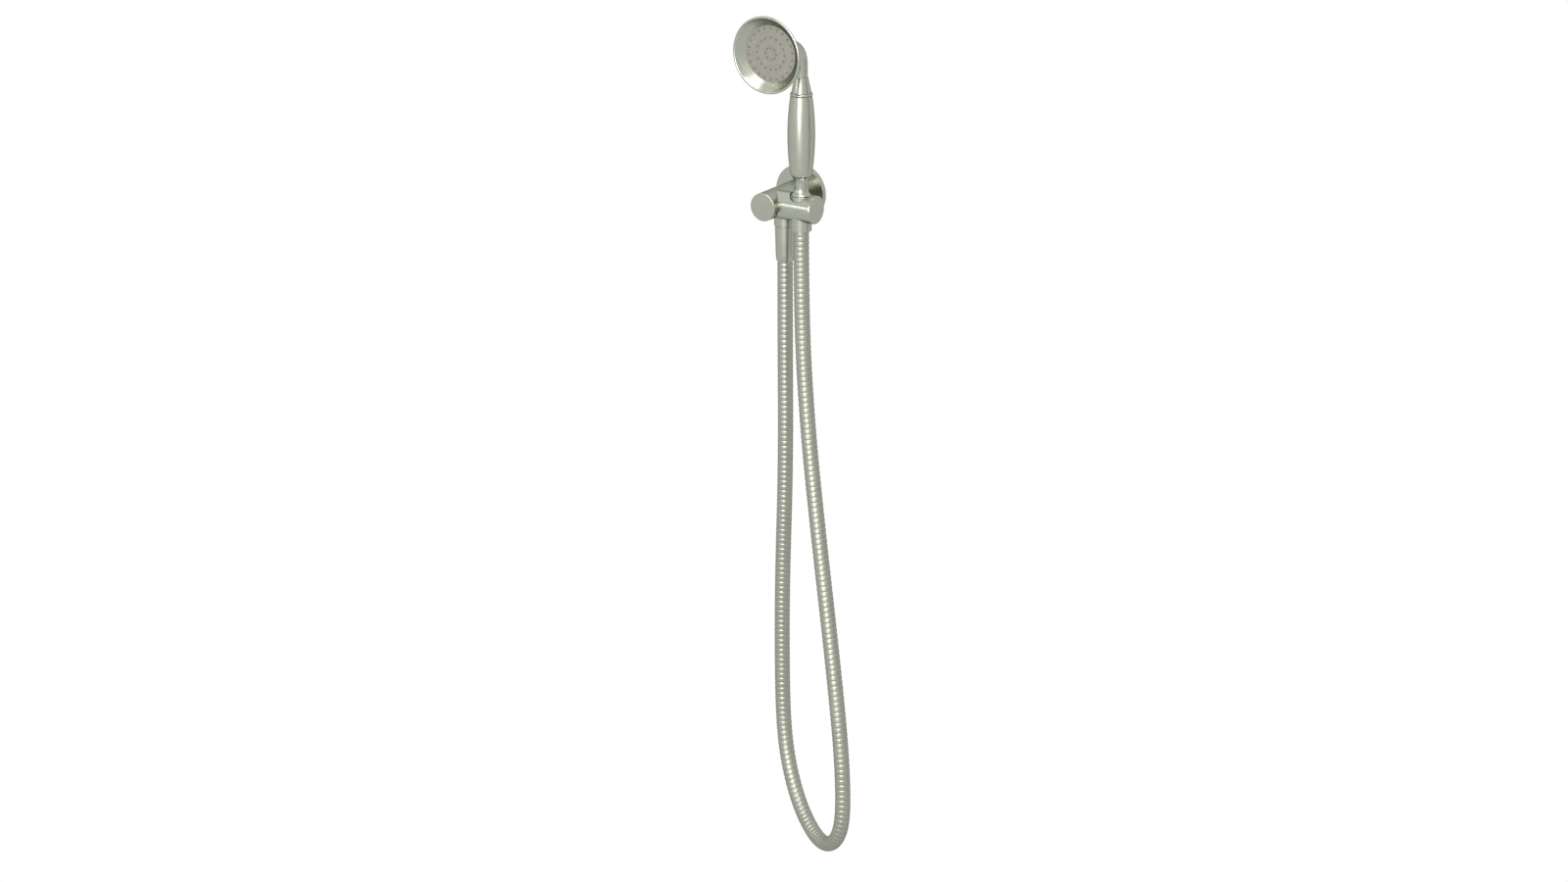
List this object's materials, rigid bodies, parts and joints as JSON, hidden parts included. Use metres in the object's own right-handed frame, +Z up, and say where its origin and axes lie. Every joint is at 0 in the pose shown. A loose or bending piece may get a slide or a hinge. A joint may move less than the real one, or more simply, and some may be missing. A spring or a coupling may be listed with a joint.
{
  "type": "wall-mounted hand shower",
  "caption": "Wall-mounted hand shower with a water arm, a cradle, a long ribbed metal hose and a handset with a round spray head.",
  "frame": {"origin": "on the wall's face, at the centre of the wall flange and on the axis of the water arm", "axes": "+Z up, +Y into the wall along the water arm's axis, +X to the right as seen by someone facing the wall"},
  "size_m": [0.1696, 0.1422, 0.9517],
  "materials": {
    "satin_nickel": "satin nickel plating on brass, with a soft wide highlight",
    "polished_nickel": "smoother nickel plating on brass, close to polished",
    "hose_metal": "nickel-plated wound metal strip",
    "raw_brass": "bare machined brass",
    "spring_steel": "bare stainless steel",
    "black_rubber": "matt black sealing rubber",
    "liner_rubber": "matt dark grey inner hose",
    "white_plastic": "moulded white acetal",
    "grey_plastic": "satin plated plastic with soft nozzles of the same colour"
  },
  "bodies": {
    "bracket": {"wall_flange": "satin_nickel", "flange_seal": "black_rubber", "inlet_tail": "raw_brass", "supply_arm": "satin_nickel", "outlet_nipple": "raw_brass", "check_valve_body": "white_plastic", "check_valve_spring": "spring_steel", "outlet_washer": "black_rubber", "hose_insert_wall": "raw_brass", "hose_sleeve_wall": "polished_nickel", "hose_nut_wall": "polished_nickel", "cradle": "satin_nickel", "cradle_grub_screw": "spring_steel", "shower_hose": "hose_metal", "hose_liner": "liner_rubber"},
    "poppet": {"check_valve_poppet": "white_plastic"},
    "hose_end": {"hose_insert_handset": "raw_brass", "hose_sleeve_handset": "polished_nickel"},
    "handset": {"hose_nut_handset": "polished_nickel", "filter_washer": "black_rubber", "flow_restrictor": "white_plastic", "handle_ferrule": "polished_nickel", "handle_grip": "satin_nickel", "handle_core": "raw_brass", "grip_o_ring_lower": "black_rubber", "grip_o_ring_upper": "black_rubber", "bead_ring": "polished_nickel", "neck_collar": "polished_nickel", "neck_pipe": "polished_nickel", "head_shell": "polished_nickel", "head_rim": "polished_nickel", "spray_face": "grey_plastic", "face_gasket": "black_rubber", "head_diffuser": "white_plastic"}
  },
  "joints": [
    {"name": "check_valve", "type": "slide", "parent": "bracket", "child": "poppet", "axis": [0, 0, -1], "range_m": [0, 0.0025], "stiffness_N_per_m": 60, "springref_m": -0.004, "deforming": ["check_valve_spring"]},
    {"name": "handset_lift", "type": "slide", "parent": "bracket", "child": "hose_end", "axis": [0, 0, 1], "range_m": [0, 0.065], "deforming": ["shower_hose", "hose_liner"]},
    {"name": "handset_turn", "type": "hinge", "parent": "hose_end", "child": "handset", "pos_m": [0.0354, -0.0576, 0], "axis": [0, 0, 1], "range_deg": [-90, 90]}
  ]
}
